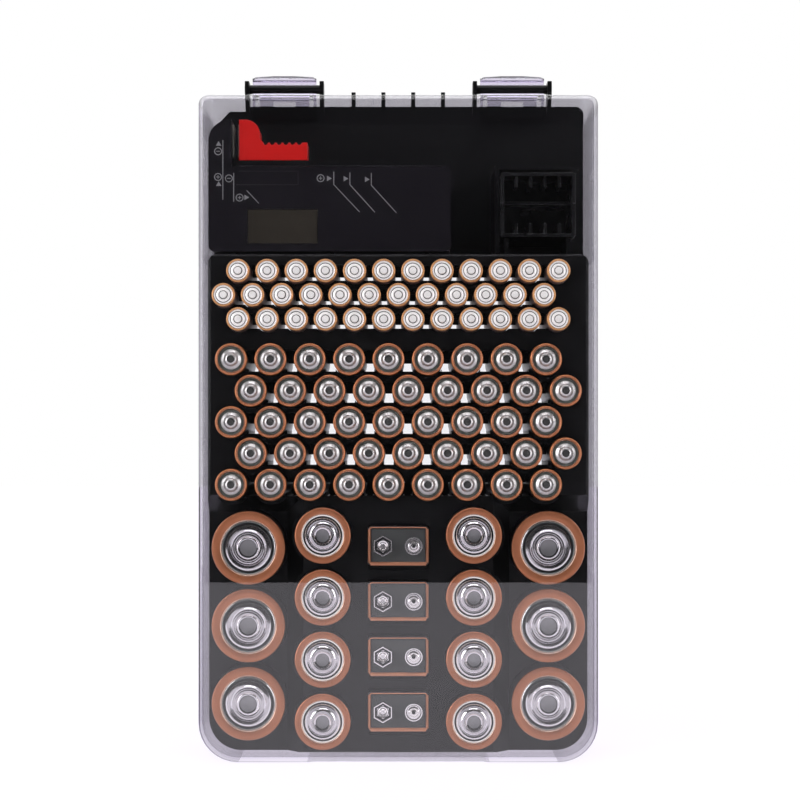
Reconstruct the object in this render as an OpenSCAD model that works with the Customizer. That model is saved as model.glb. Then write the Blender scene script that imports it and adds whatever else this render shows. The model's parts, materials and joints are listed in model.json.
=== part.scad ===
// Battery storage case standing on its bottom edge.
// X runs to the right, Z is up and the clear lid faces -Y. Millimetres.

/* [Case] */
// Width of the lid and of the tray's flange
case_w = 181.4; // [176:0.2:200]
// Depth from the lid's front face to the tray's rear face
case_d = 66; // [64:0.5:80]
// Thickness of the clear lid's walls
lid_wall = 1.7; // [1.2:0.1:2.2]
// Thickness of the lid's bottom wall beside the finger recess
lid_bottom_wall = 2.3; // [2:0.1:3]
// Radius of the lid's top corners
lid_top_r = 4.5; // [3.5:0.5:8]
// Radius of the lid's bottom corners
lid_bottom_r = 18; // [8:1:24]
// Radius of the lid's front edge
lid_edge_r = 3.2; // [2.4:0.2:4]
// Gap between the closed lid and the tray's flange
lid_gap = 0.3; // [0.2:0.1:0.6]
// Width of the finger recess under the lid
finger_w = 83; // [40:1:110]
// Height of the finger recess under the lid
finger_h = 0.7; // [0.3:0.1:0.8]

/* [Tray] */
// Thickness of the tray's front plate and outer walls
tray_wall = 1.9; // [1.4:0.1:2.4]
// Thickness of the tray's rear flange and panel
flange_t = 3; // [2:0.5:4]
// Gap from the lid's side walls to the raised block
block_gap = 1.4; // [0.8:0.1:3]
// Depth of the raised block's front behind the lid's front face
block_set = 11.7; // [10:0.1:14]
// Radius of the raised block's upper corners
block_r = 5; // [2:0.5:8]
// Radius of the raised block's front edges
block_edge_r = 1.8; // [0.8:0.2:2.4]
// Depth of the lowered fields at the large cells
step_d = 7.8; // [4:0.2:9]
// Wall around each pocket
pocket_wall = 1.5; // [1.2:0.1:1.8]
// Depth of the shallow recess at the mouth of each square pocket
recess_d = 1.1; // [0.6:0.1:1.4]
// Height of that recess under the square cell
recess_h = 2.4; // [1:0.1:3]
// Thickness of each pocket's floor
pocket_floor = 1.8; // [1.2:0.1:2.2]
// Height of the bay above the raised block
bay_h = 70.9; // [66:0.1:90]
// Height of the hinge strip above the lid
strip_h = 7.2; // [6:0.1:12]
// Height of the four ribs on top of the hinge strip
top_rib_h = 7; // [3:0.5:9]

/* [Cells] */
// Gap from a cell to the lid's inner face
cell_gap = 0.9; // [0.5:0.1:2]
// Clearance around a cell in its pocket
cell_fit = 0.3; // [0.2:0.05:0.4]
// Diameter of the smallest round cell
aaa_d = 10.7; // [10:0.1:10.8]
// Length of the smallest round cell
aaa_l = 44.5; // [40:0.5:46]
// Diameter of the small round cell
aa_d = 14.6; // [14:0.1:14.8]
// Length of the small round cell
aa_l = 50.5; // [46:0.5:52]
// Diameter of the medium round cell
c_d = 25.5; // [24:0.1:26.2]
// Length of the medium round cell
c_l = 50; // [46:0.5:52]
// Diameter of the large round cell
d_d = 33.5; // [32:0.1:33.7]
// Width of the square cell
nine_w = 27.6; // [26:0.1:28.5]
// Height of the square cell's face
nine_t = 18.1; // [17:0.1:19]
// Length of the square cell with its snaps
nine_l = 48.5; // [45:0.5:50]

/* [Banks] */
// Smallest cells in each row
aaa_n = 12; // [8:1:12]
// Spacing of the smallest cells along a row
aaa_pitch = 13.25; // [13:0.05:13.4]
// Spacing of the rows of smallest cells
aaa_row = 11; // [10.8:0.1:12]
// Small cells in each row
aa_n = 9; // [6:1:9]
// Spacing of the small cells along a row
aa_pitch = 17.9; // [17.6:0.1:18]
// Spacing of the rows of small cells
aa_row = 14.27; // [14.2:0.01:15]
// Height of the lowest row of small cells
aa_z = 125.9; // [125.8:0.1:130]
// Height from the top small row to the lowest smallest row
bank_gap = 18.3; // [15:0.1:20]
// Height from the top row of cells to the top of the raised block
block_margin = 8.7; // [7:0.1:14]
// Distance of the medium cells from the middle
c_x = 34.4; // [33:0.1:34.5]
// Height of the lowest medium cell
c_z = 18.1; // [17.8:0.1:20]
// Spacing of the medium cells
c_pitch = 28.23; // [28:0.01:28.6]
// Distance of the large cells from the middle
d_x = 68.2; // [68:0.1:68.3]
// Height of the lowest large cell
d_z = 26.4; // [24:0.1:26.8]
// Spacing of the large cells
d_pitch = 35.4; // [35.2:0.1:35.6]
// Height of the lowest square cell
nine_z = 22.6; // [20:0.1:24]
// Spacing of the square cells
nine_pitch = 25.17; // [24:0.01:26]

/* [Hinge] */
// Distance of each hinge from the middle
hinge_x = 55.4; // [40:0.2:60]
// Width of each hinge bracket over its ears
bracket_w = 38.3; // [34:0.1:44]
// Thickness of each ear
ear_t = 2; // [1.6:0.1:3]
// Diameter of the hinge bar
bar_d = 4.4; // [3.6:0.1:5]
// Height of the hinge bar above the lid
bar_h = 14.9; // [14.6:0.1:17]
// Distance of the hinge bar in front of the rear face
bar_set = 5.5; // [5.2:0.1:7]
// Width of each snap clip on the lid
clip_w = 31; // [26:0.5:32]
// Wall of each snap clip
clip_wall = 3.1; // [2:0.1:3.2]
// Running clearance between clip and bar
clip_fit = 0.08; // [0.04:0.01:0.1]
// Height of the clip's crest above the bar's middle
crest_h = 6.3; // [5.6:0.1:6.6]

/* [Tester] */
// Width of the tester
tester_w = 111.6; // [104:0.1:116]
// Height of the tester's lower body
tester_body_h = 39.2; // [34:0.2:42]
// Height of the rail that the slider runs on
tester_rail_h = 2.9; // [1:0.1:4]
// Height of the tester over its contact column
tester_h = 60.7; // [56:0.1:64]
// Depth of the tester
tester_d = 25; // [22:0.5:28]
// Wall of the tester's shells
tester_wall = 1.6; // [1.2:0.1:2]
// Width of the contact column
column_w = 10.6; // [8:0.1:12]
// Distance of the tester's front behind the lid's front face
tester_set = 14; // [12:0.5:18]
// Distance of the tester from the lid's inner left wall
tester_side = 1.6; // [1.6:0.1:4]
// Travel of the slider
slider_travel = 62; // [40:1:64]
// Length of the slider
slider_l = 31.6; // [30:0.1:34]
// Height of the slider's head
slider_h = 18.8; // [16:0.2:22]
// Thickness of the slider
slider_t = 12; // [8:0.5:14]

/* [Coin cell rack] */
// Width of the rack
rack_w = 35; // [32:0.5:38]
// Height of the rack
rack_h = 30; // [26:0.5:34]
// Depth of the rack
rack_d = 38; // [30:0.5:42]
// Distance of the rack from the middle
rack_x = 47.8; // [46:0.1:49]
// Height of the rack above the raised block
rack_lift = 9.4; // [6:0.1:14]

/* [Hidden] */
$fn = 64;
eps = 0.01;
front_y = -case_d / 2;
rear_y = case_d / 2;
flange_y = rear_y - flange_t;
lid_rear_y = flange_y - lid_gap;
lid_half = case_w / 2;
half_block = lid_half - lid_wall - block_gap;
block_low_r = lid_bottom_r - lid_wall - block_gap;
block_y = front_y + block_set;
step_y = block_y + step_d;
block_z0 = lid_bottom_wall + 0.5;
flange_rim = 4;
panel_corner_r = 4;
opening_corner_r = 2;
cell_y = front_y + lid_wall + cell_gap;
aa_top = aa_z + 4 * aa_row;
aaa_z = aa_top + bank_gap;
aaa_top = aaa_z + 2 * aaa_row;
block_z1 = aaa_top + block_margin;
lid_h = block_z1 + bay_h;
panel_z1 = lid_h + strip_h;
d_bottom_y = rear_y - pocket_floor;
d_l = d_bottom_y - cell_y;
step_x = c_x + c_d / 2 - 3.6;
step_z = d_z + 2 * d_pitch + d_d / 2 + 7.2;
aaa_back = cell_y + aaa_l + pocket_floor;
aa_back = cell_y + max(aa_l, c_l, nine_l) + pocket_floor;
panel_z0 = block_z1 - flange_rim;
field_top = step_z + 1;
seat_top = field_top + flange_rim;
lower_x = step_x + 2;
floor_cut_low = block_z1 - tray_wall - 0.5;
floor_cut_high = block_z1 - tray_wall + 0.5;
panel_cut = panel_z0 - 1.5;
seat_cut = seat_top + 1;
bar_cut = lower_x - 1;
bar_y = rear_y - bar_set;
bar_z = lid_h + bar_h;
clip_bore = bar_d / 2 + clip_fit;
clip_r = clip_bore + clip_wall;
tester_x0 = -lid_half + lid_wall + tester_side;
tester_x1 = tester_x0 + tester_w;
seat_rib_h = 1.3;
tester_z0 = block_z1 + seat_rib_h;
tester_top = tester_z0 + tester_h;
tester_body_z = tester_z0 + tester_body_h;
rail_z = tester_body_z + tester_rail_h;
tester_y0 = front_y + tester_set;
tester_y1 = tester_y0 + tester_d;
tester_split = tester_y1 - 8;
contact_t = 0.6;
slider_gap = 2;
slider_x0 = tester_x0 + column_w + contact_t + slider_gap + contact_t;
slider_z0 = rail_z + 0.3;
slider_y = tester_y0 + 9;
rack_z0 = block_z1 + rack_lift;
rack_y0 = flange_y - rack_d;
bank_z = (aa_top + aa_d / 2 + aaa_z - aaa_d / 2) / 2;
field_z = (d_z + 2 * d_pitch + d_d / 2 + aa_z - aa_d / 2) / 2;
field_x = (c_x + c_d / 2 + d_x - d_d / 2) / 2;
column_x = (nine_w / 2 + c_x - c_d / 2) / 2;
sides = ["left", "right"];

// Extrudes a front view, drawn in x and z, from one depth to another.
module plan(y0, y1) {
    translate([0, y1, 0]) rotate([90, 0, 0]) linear_extrude(y1 - y0) children();
}

// Extrudes a side view, drawn in y and z, between two x values.
module side_view(x0, x1) {
    translate([x0, 0, 0]) rotate([90, 0, 90]) linear_extrude(x1 - x0) children();
}

module rounded_rect(x0, x1, z0, z1, r) {
    translate([x0 + r, z0]) square([x1 - x0 - 2 * r, z1 - z0]);
    translate([x0, z0 + r]) square([x1 - x0, z1 - z0 - 2 * r]);
    for (x = [x0 + r, x1 - r], z = [z0 + r, z1 - r]) translate([x, z]) circle(r);
}

// A rectangle about the middle with one corner radius below and another above.
module tall_rect(half, z0, z1, low_r, top_r) {
    translate([-half, z0 + low_r]) square([2 * half, z1 - z0 - low_r - top_r]);
    translate([low_r - half, z0]) square([2 * (half - low_r), low_r + eps]);
    translate([top_r - half, z1 - top_r - eps]) square([2 * (half - top_r), top_r + eps]);
    for (side = [-1, 1]) {
        translate([side * (half - low_r), z0 + low_r]) circle(low_r);
        translate([side * (half - top_r), z1 - top_r]) circle(top_r);
    }
}

// A block with rounded corners whose four front edges are rounded too.
module soft_block(half, z0, z1, y0, y1, low_r, top_r, edge) {
    intersection() {
        plan(y0, y1) tall_rect(half, z0, z1, low_r, top_r);
        translate([0, 0, z0]) linear_extrude(z1 - z0)
            rounded_rect(-half, half, y0, y1 + 2 * edge, edge);
        side_view(-half, half) rounded_rect(y0, y1 + 2 * edge, z0, z1, edge);
    }
}

tray_black = [0.05, 0.05, 0.055];
tube_grow = cell_fit + pocket_wall;
rib_t = 2;

function aa_x(row, i) = (i - (aa_n - 1) / 2 - 0.25) * aa_pitch + (row % 2) * aa_pitch / 2;
function aaa_x(row, i) = (i - (aaa_n - 1) / 2) * aaa_pitch - (row % 2) * aaa_pitch / 2;

module at_aaa(rows) {
    for (row = rows, i = [0:aaa_n - 1]) translate([aaa_x(row, i), aaa_z + row * aaa_row]) children();
}

module at_aa(rows) {
    for (row = rows, i = [0:aa_n - 1]) translate([aa_x(row, i), aa_z + row * aa_row]) children();
}

module at_c(side) {
    for (i = [0:3]) translate([side * c_x, c_z + i * c_pitch]) children();
}

module at_d(side) {
    for (i = [0:2]) translate([side * d_x, d_z + i * d_pitch]) children();
}

module at_nine() {
    for (i = [0:3]) translate([0, nine_z + i * nine_pitch]) children();
}

module nine_face(grow, r) {
    rounded_rect(-nine_w / 2 - grow, nine_w / 2 + grow, -nine_t / 2 - grow, nine_t / 2 + grow, r);
}

// The space in front of the lowered field beside the medium cells, with sloped sides.
// grow moves its faces outwards, which gives the plate behind it an even thickness.
module step_space(side, grow) {
    lean = grow * sqrt(2);
    deep = step_y + grow;
    reach = deep - block_y;
    far = half_block + 10;
    over = 5;
    intersection() {
        linear_extrude(lid_h)
            polygon([
                [side * (step_x - lean - over), block_y - over],
                [side * (step_x - lean + reach), deep],
                [side * far, deep],
                [side * far, block_y - over]]);
        side_view(-far, far)
            polygon([
                [block_y - over, step_z + lean + over],
                [deep, step_z + lean - reach],
                [deep, -over],
                [block_y - over, -over]]);
    }
}

// The raised block of the tray, drawn in by inset on every side.
module raised_block(inset) {
    difference() {
        soft_block(half_block - inset, block_z0 + inset, block_z1 - inset,
            block_y + inset, flange_y + inset, block_low_r - inset, block_r - inset,
            block_edge_r - inset / 2);
        for (side = [-1, 1]) step_space(side, inset);
    }
}

// The outer skin of the raised block between two planes each in x, y and z.
module skin(x0, x1, y0, y1, z0, z1) {
    intersection() {
        difference() {
            raised_block(0);
            raised_block(tray_wall);
        }
        translate([x0, y0, z0]) cube([x1 - x0, y1 - y0, z1 - z0]);
    }
}

// A section of the tray down to the plane at its pockets' rear ends: the block's skin and
// the first child's tubes, less the second child's bores.
module section(x0, x1, back, z0, z1) {
    color(tray_black) difference() {
        union() {
            skin(x0, x1, block_y - 1, back, z0, z1);
            intersection() {
                children(0);
                translate([x0, block_y, z0]) cube([x1 - x0, flange_y - block_y + 1, z1 - z0]);
            }
        }
        children(1);
    }
}

module tube(depth) {
    plan(block_y + tray_wall / 2, cell_y + depth + pocket_floor) children();
}

module bore(depth) {
    plan(block_y - 2, cell_y + depth) children();
}

// Slots between neighbouring pockets of a row: high at the front, then low and narrow to
// the rear. The heights are measured from the row's middle.
module slots(xs, z, gap, low, front_top, rear_top) {
    front_depth = 8;
    front_grow = 4.4;
    rear_grow = 1.3;
    front_w = gap + front_grow;
    rear_w = gap + rear_grow;
    for (x = xs) {
        plan(block_y - 2, block_y + front_depth)
            translate([x - front_w / 2, z + low]) square([front_w, front_top - low]);
        plan(block_y - 2, flange_y)
            translate([x - rear_w / 2, z + low]) square([rear_w, rear_top - low]);
    }
}

module tray_aaa_row(row) {
    z = aaa_z + row * aaa_row;
    rows = [max(row - 1, 0):min(row + 1, 2)];
    z0 = row == 0 ? bank_z : z - aaa_row / 2;
    z1 = row == 2 ? floor_cut_high : z + aaa_row / 2;
    xs = [for (i = [0:aaa_n - 2]) aaa_x(row, i) + aaa_pitch / 2];
    section(-lid_half, lid_half, aaa_back, z0, z1) {
        tube(aaa_l) at_aaa(rows) circle(aaa_d / 2 + tube_grow);
        union() {
            bore(aaa_l) at_aaa(rows) circle(aaa_d / 2 + cell_fit);
            slots(xs, z, aaa_pitch - aaa_d, -3.8, 3.3, 1.6);
        }
    }
}

module tray_aa_row(row) {
    z = aa_z + row * aa_row;
    rows = [max(row - 1, 0):min(row + 1, 4)];
    z0 = row == 0 ? field_z : z - aa_row / 2;
    z1 = row == 4 ? bank_z : z + aa_row / 2;
    xs = [for (i = [0:aa_n - 2]) aa_x(row, i) + aa_pitch / 2];
    section(-lid_half, lid_half, aa_back, z0, z1) {
        union() {
            tube(aa_l) at_aa(rows) circle(aa_d / 2 + tube_grow);
            if (row == 0) for (side = [-1, 1]) tube(c_l) at_c(side) circle(c_d / 2 + tube_grow);
        }
        union() {
            bore(aa_l) at_aa(rows) circle(aa_d / 2 + cell_fit);
            slots(xs, z, aa_pitch - aa_d, -5.2, 4.4, 0.8);
        }
    }
}

module tray_c_column(side) {
    x0 = side < 0 ? -field_x : column_x;
    section(x0, x0 + field_x - column_x, aa_back, 0, field_z) {
        tube(c_l) at_c(side) circle(c_d / 2 + tube_grow);
        bore(c_l) at_c(side) circle(c_d / 2 + cell_fit);
    }
}

module tray_d_column(side) {
    x0 = side < 0 ? -lid_half : field_x;
    section(x0, x0 + lid_half - field_x, flange_y, 0, field_z) {
        plan(step_y + tray_wall / 2, flange_y) at_d(side) circle(d_d / 2 + tube_grow);
        bore(d_l) at_d(side) circle(d_d / 2 + cell_fit);
    }
}

// The column of square pockets, each with a shallow recess at its mouth that reaches
// further down, and the half-moon thumb notch at the foot.
module tray_square_column() {
    notch_r = 21;
    notch_rise = 3.4;
    notch_d = 1.2;
    mouth = nine_w / 2 + cell_fit;
    section(-column_x, column_x, aa_back, 0, field_z) {
        tube(nine_l) at_nine() nine_face(tube_grow, 2);
        union() {
            bore(nine_l) at_nine() nine_face(cell_fit, 1.6);
            plan(block_y - 1, block_y + recess_d) at_nine()
                rounded_rect(-mouth, mouth, -nine_t / 2 - recess_h, nine_t / 2 + cell_fit, 1.6);
            plan(block_y - 1, block_y + notch_d)
                translate([0, block_z0 - notch_r + notch_rise]) circle(notch_r);
        }
    }
}

// The block's upper wall, on which the tester and the rack stand.
module tray_bay_floor() {
    color(tray_black) {
        skin(-lid_half, lid_half, block_y - 1, flange_y, floor_cut_high, block_z1 + 1);
        skin(-lid_half, lid_half, aaa_back, flange_y, floor_cut_low, floor_cut_high + eps);
    }
}

// The whole rear plate: openings behind the banks, seats for the large cells, a corner cut
// away at the top left and four short ribs on top.
module rear_plate() {
    inner = half_block - flange_rim;
    corner_w = lid_half - hinge_x - bracket_w / 2;
    low_cut = 7.2;
    high_cut = 2.4;
    difference() {
        union() {
            plan(flange_y, rear_y) difference() {
                tall_rect(lid_half, 0, panel_z1, lid_bottom_r, panel_corner_r);
                rounded_rect(-inner, inner, seat_top, panel_z0, opening_corner_r);
                rounded_rect(-lower_x, lower_x, block_z0 + flange_rim, field_top - flange_rim,
                    opening_corner_r);
                translate([-lid_half, panel_z1])
                    polygon([
                        [-1, 1], [-1, -low_cut - 5], [3.8, -low_cut], [8.2, -high_cut],
                        [corner_w, -high_cut], [corner_w, 1]]);
            }
            for (x = [-21.9, -7.3, 7.3, 21.9]) translate([x - rib_t / 2, flange_y, panel_z1 - eps])
                cube([rib_t, flange_t, top_rib_h]);
        }
        for (side = [-1, 1]) plan(flange_y - 1, d_bottom_y) at_d(side) circle(d_d / 2 + cell_fit);
    }
}

module rear_plate_part(x0, x1, z0, z1) {
    intersection() {
        rear_plate();
        translate([x0, flange_y - 1, z0]) cube([x1 - x0, flange_t + 2, z1 - z0]);
    }
}

module tray_panel() {
    color(tray_black)
        rear_plate_part(-lid_half - 1, lid_half + 1, panel_cut, panel_z1 + top_rib_h + 1);
}

// The plate's two side bars with the rear part of the block's side walls.
module tray_flange_sides() {
    color(tray_black) {
        rear_plate_part(-lid_half - 1, lid_half + 1, seat_cut, panel_cut);
        skin(-lid_half, lid_half, aa_back, flange_y, seat_cut, floor_cut_low);
        skin(-lid_half, lid_half, aaa_back, flange_y, bank_z, floor_cut_low);
    }
}

// The plate's two fields with the seats of the large cells.
module tray_flange_seats() {
    color(tray_black) {
        rear_plate_part(-lid_half - 1, -bar_cut, -1, seat_cut);
        rear_plate_part(bar_cut, lid_half + 1, -1, seat_cut);
        skin(-lid_half, lid_half, aa_back, flange_y, field_z, seat_cut);
    }
}

// The plate's cross bar and foot bar with the rear part of the block's lower wall.
module tray_flange_bars() {
    color(tray_black) {
        rear_plate_part(-bar_cut, bar_cut, -1, seat_cut);
        skin(-field_x, field_x, aa_back, flange_y, 0, field_z);
    }
}

// Two hinge brackets, each with two ears and a round bar between them.
module tray_hinges() {
    ear_low = lid_h + 2.8;
    ear_top = bar_z + 3.5;
    color(tray_black) for (side = [-1, 1]) translate([side * hinge_x, 0, 0]) {
        for (x = [-bracket_w / 2, bracket_w / 2 - ear_t]) side_view(x, x + ear_t)
            polygon([
                [flange_y, panel_z1], [flange_y, ear_low], [bar_y - 3, bar_z - 4],
                [bar_y - 4.2, bar_z], [bar_y - 3.4, ear_top], [bar_y + 3.4, ear_top],
                [rear_y, bar_z], [rear_y, panel_z1]]);
        translate([-bracket_w / 2 + eps, bar_y, bar_z]) rotate([0, 90, 0])
            cylinder(h = bracket_w - 2 * eps, d = bar_d);
    }
}

// Ribs of the bay that carry the tester and frame the rack.
module tray_bay_ribs() {
    rib_xs = [tester_x0 + 12, tester_x0 + tester_w / 2, tester_x1 - 12];
    frame_x = rack_x - rib_t - 0.3;
    frame_d = rack_d - 4;
    frame_y = flange_y - frame_d;
    color(tray_black) {
        for (x = rib_xs) {
            translate([x, tester_y1, block_z1]) cube([rib_t, flange_y - tester_y1, tester_body_h]);
            translate([x, block_y + 8, block_z1]) cube([rib_t, tester_y1 - block_y, seat_rib_h]);
        }
        translate([frame_x, frame_y, block_z1]) cube([rib_t, frame_d, rack_lift + rack_h + 2 + rib_t]);
        translate([frame_x, frame_y, rack_z0 + rack_h + 2]) cube([rack_w + 4, frame_d, rib_t]);
        for (x = [rack_x + 2, rack_x + rack_w - 2 - rib_t])
            translate([x, frame_y, block_z1]) cube([rib_t, frame_d, rack_lift]);
    }
}

// A rod with a rounded front end, from which the lid's corners are hulled.
module corner_rod(x, z, r, edge, y0, y1) {
    steps = 4;
    depth = y1 - y0;
    translate([x, y1, z]) rotate([90, 0, 0]) rotate_extrude($fn = 32)
        polygon(concat([[0, 0], [r, 0]],
            [for (i = [0:steps]) let (a = i * 90 / steps)
                [r - edge + edge * cos(a), depth - edge + edge * sin(a)]],
            [[0, depth]]));
}

module lid_form(inset, inset_low, y1) {
    edge = lid_edge_r - inset;
    half = lid_half - inset;
    y0 = front_y + inset;
    top_r = lid_top_r - inset / 2;
    low_r = lid_bottom_r - inset;
    hull() {
        for (side = [-1, 1]) {
            corner_rod(side * (half - top_r), lid_h - inset - top_r, top_r, edge, y0, y1);
            corner_rod(side * (half - low_r), inset_low + low_r, low_r, edge, y0, y1);
        }
    }
}

// Snap clip of the lid: an arm with two oval holes and a window, a hook round the bar and
// a crest of three fields on top.
module lid_clip() {
    arm_t = 3.4;
    arm_y1 = lid_rear_y;
    arm_z0 = lid_h - lid_wall;
    arm_z1 = bar_z;
    oval_x = clip_w / 2 - 2.4;
    oval_z = lid_h + 7.8;
    crest_t = 2.6;
    crest_z0 = bar_z + clip_bore + 0.8;
    field_x0 = clip_w * 0.17;
    difference() {
        union() {
            plan(arm_y1 - arm_t, arm_y1)
                translate([-clip_w / 2, arm_z0]) square([clip_w, arm_z1 - arm_z0]);
            translate([-clip_w / 2, bar_y, bar_z]) rotate([0, 90, 0]) cylinder(h = clip_w, r = clip_r);
            plan(bar_y - crest_t / 2, bar_y + crest_t / 2)
                polygon([
                    [-clip_w / 2, crest_z0], [-clip_w / 2, bar_z + crest_h - 1.4],
                    [1.6 - clip_w / 2, bar_z + crest_h - 0.5], [-field_x0, bar_z + crest_h],
                    [field_x0, bar_z + crest_h], [clip_w / 2 - 1.6, bar_z + crest_h - 0.5],
                    [clip_w / 2, bar_z + crest_h - 1.4], [clip_w / 2, crest_z0]]);
        }
        translate([-clip_w / 2 - 1, bar_y, bar_z]) rotate([0, 90, 0])
            cylinder(h = clip_w + 2, r = clip_bore);
        side_view(-clip_w / 2 - 1, clip_w / 2 + 1)
            polygon([
                [bar_y, bar_z], [bar_y - 12 * cos(60), bar_z - 12 * sin(60)],
                [bar_y - 14, bar_z], [bar_y - 12 * cos(70), bar_z + 12 * sin(70)]]);
        plan(arm_y1 - arm_t - 4, arm_y1 + 4) {
            for (side = [-1, 1], z = [-1.6, 1.6]) translate([side * oval_x, oval_z + z]) circle(1.1);
            for (side = [-1, 1]) translate([side * oval_x - 1.1, oval_z - 1.6]) square([2.2, 3.2]);
            translate([-5.4, oval_z - 1.6]) square([10.8, 3.2]);
        }
    }
}

module lid() {
    recess_slope = 3;
    color([0.85, 0.85, 0.9, 0.35]) difference() {
        union() {
            difference() {
                lid_form(0, 0, lid_rear_y);
                lid_form(lid_wall, lid_bottom_wall, lid_rear_y + 1);
            }
            for (side = [-1, 1]) translate([side * hinge_x, 0, 0]) lid_clip();
        }
        plan(front_y - 1, rear_y) polygon([
            [-finger_w / 2, -1], [-finger_w / 2, 0], [-finger_w / 2 + recess_slope, finger_h],
            [finger_w / 2 - recess_slope, finger_h], [finger_w / 2, 0], [finger_w / 2, -1]]);
    }
}

// A round dry cell seen from its profile: rolled shoulder, groove, stepped cap and nub.
module round_cell(d, l, nub_r, nub_h) {
    r = d / 2;
    rim = r * 0.70;
    rise = nub_h;
    body_l = l - rise;
    rotate([90, 0, 0]) rotate_extrude()
        polygon([
            [0, 0], [r - 0.8, 0], [r, 0.8], [r, body_l - 1.2], [r - 0.35, body_l - 0.4],
            [r - 1, body_l], [rim + 0.5, body_l], [rim, body_l - 0.5], [rim - 0.3, body_l - 0.9],
            [rim - 0.8, body_l - 0.9], [rim - 1, body_l - 0.2], [nub_r + 1, body_l],
            [nub_r, body_l + 0.3], [nub_r, l - 0.3], [nub_r - 0.3, l], [0, l]]);
}

module cell_row_aaa(row) {
    for (i = [0:aaa_n - 1]) translate([aaa_x(row, i), cell_y + aaa_l, aaa_z + row * aaa_row])
        round_cell(aaa_d, aaa_l, 1.9, 0.9);
}

module cell_row_aa(row) {
    for (i = [0:aa_n - 1]) translate([aa_x(row, i), cell_y + aa_l, aa_z + row * aa_row])
        round_cell(aa_d, aa_l, 2.6, 1.1);
}

module c_cell(i) {
    side = i < 4 ? -1 : 1;
    translate([side * c_x, cell_y + c_l, c_z + (3 - i % 4) * c_pitch]) round_cell(c_d, c_l, 3.2, 1.6);
}

module d_cell(i) {
    side = i < 3 ? -1 : 1;
    translate([side * d_x, cell_y + d_l, d_z + (2 - i % 3) * d_pitch]) round_cell(d_d, d_l, 4.2, 1.6);
}

// A square dry cell: a rolled rim, a sunk top plate, a hexagonal crown and a round stud.
module nine_volt_cell(i) {
    snap_h = 2.6;
    rim_h = 0.8;
    crown_x = -7;
    stud_x = 7;
    body_y = cell_y + snap_h;
    plate_y = body_y + rim_h;
    translate([0, 0, nine_z + (3 - i) * nine_pitch]) {
        difference() {
            plan(body_y, cell_y + nine_l) nine_face(0, 2);
            plan(body_y - 1, plate_y) nine_face(-1.3, 1.2);
        }
        difference() {
            plan(cell_y, plate_y + eps) translate([crown_x, 0]) rotate(30) circle(4.85, $fn = 6);
            plan(cell_y - 1, plate_y - 0.8) translate([crown_x, 0]) circle(3.6);
        }
        translate([crown_x, plate_y, 0]) rotate([90, 0, 0])
            rotate_extrude()
                polygon([[0, 0], [2.7, 0], [2.4, 1.6], [1.4, 2.3], [0.6, 2.3], [0.6, 1.2], [0, 1.2]]);
        translate([stud_x, plate_y + eps, 0]) rotate([90, 0, 0]) rotate_extrude()
            polygon([
                [0, 0], [3.8, 0], [3.8, 2], [4.2, 2.6], [4.1, 3.4], [3.6, 3.4], [3.3, 2.2],
                [2.7, 2.2], [2.4, 3.2], [1.8, 3.2], [1.6, 2.6], [1.1, 2.6], [0.9, 3.2],
                [0.5, 3.2], [0.4, 2.4], [0, 2.4]]);
    }
}

// Front view of the tester: lower body up to the given height, and contact column.
module tester_outline(inset, body_top) {
    big = 9.8;
    small = 2.6;
    x0 = tester_x0 + inset;
    x1 = tester_x0 + column_w - inset;
    top = tester_top - inset;
    rounded_rect(x0, tester_x1 - inset, tester_z0 + inset, body_top - inset, small - inset);
    translate([x0, tester_z0 + 10]) square([x1 - x0, tester_h - 10 - inset - big]);
    translate([x0 + big - inset, top - big]) square([x1 - x0 - big + inset, big]);
    intersection() {
        translate([x0 + big - inset, top - big + inset]) circle(big - inset);
        translate([x0, top - big]) square([x1 - x0, big]);
    }
}

boss_points = [[tester_x0 + 5, tester_z0 + 6], [tester_x1 - 7, tester_z0 + 6]];
lcd_x0 = tester_x0 + 17.8;
lcd_w = 32.5;
lcd_z0 = tester_z0 + 3.6;
lcd_h = 15.9;
slot_w = 3;
stem_w = 2.4;
stem_x0 = slider_x0 + 4;
stem_l = 25;

module tester_front_shell() {
    rail_set = 2;
    color([0.1, 0.1, 0.12]) difference() {
        union() {
            difference() {
                union() {
                    plan(tester_y0, tester_split) tester_outline(0, tester_body_z);
                    plan(tester_y0 + rail_set, tester_split) tester_outline(0, rail_z);
                }
                plan(tester_y0 + tester_wall, tester_split + 1) tester_outline(tester_wall, tester_body_z);
            }
            plan(tester_y0 + tester_wall - eps, tester_split)
                for (p = boss_points) translate(p) circle(3);
        }
        plan(tester_y0 - 1, tester_y0 + tester_wall + 1)
            translate([lcd_x0, lcd_z0]) square([lcd_w, lcd_h]);
        plan(tester_y0 + 4, tester_split + 1) for (p = boss_points) translate(p) circle(1.1);
        translate([stem_x0 - 0.3, slider_y - slot_w / 2, tester_body_z - 5])
            cube([stem_l + slider_travel + 0.6, slot_w, rail_z - tester_body_z + 6]);
    }
}

module tester_rear_shell() {
    post_xs = [tester_x0 + 30, tester_x0 + 80];
    color([0.1, 0.1, 0.12]) difference() {
        union() {
            difference() {
                plan(tester_split, tester_y1) tester_outline(0, rail_z);
                plan(tester_split - 1, tester_y1 - tester_wall) tester_outline(tester_wall, tester_body_z);
            }
            plan(tester_split, tester_y1 - tester_wall + eps)
                for (p = boss_points) translate(p) circle(3);
            plan(tester_y0 + 10.6, tester_y1 - tester_wall + eps)
                for (x = post_xs) translate([x, tester_z0 + 16]) circle(2);
        }
        plan(tester_split - 1, tester_y1 + 1) for (p = boss_points) translate(p) circle(1.3);
        plan(tester_y1 - 2.2, tester_y1 + 1) for (p = boss_points) translate(p) circle(2.6);
    }
}

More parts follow.
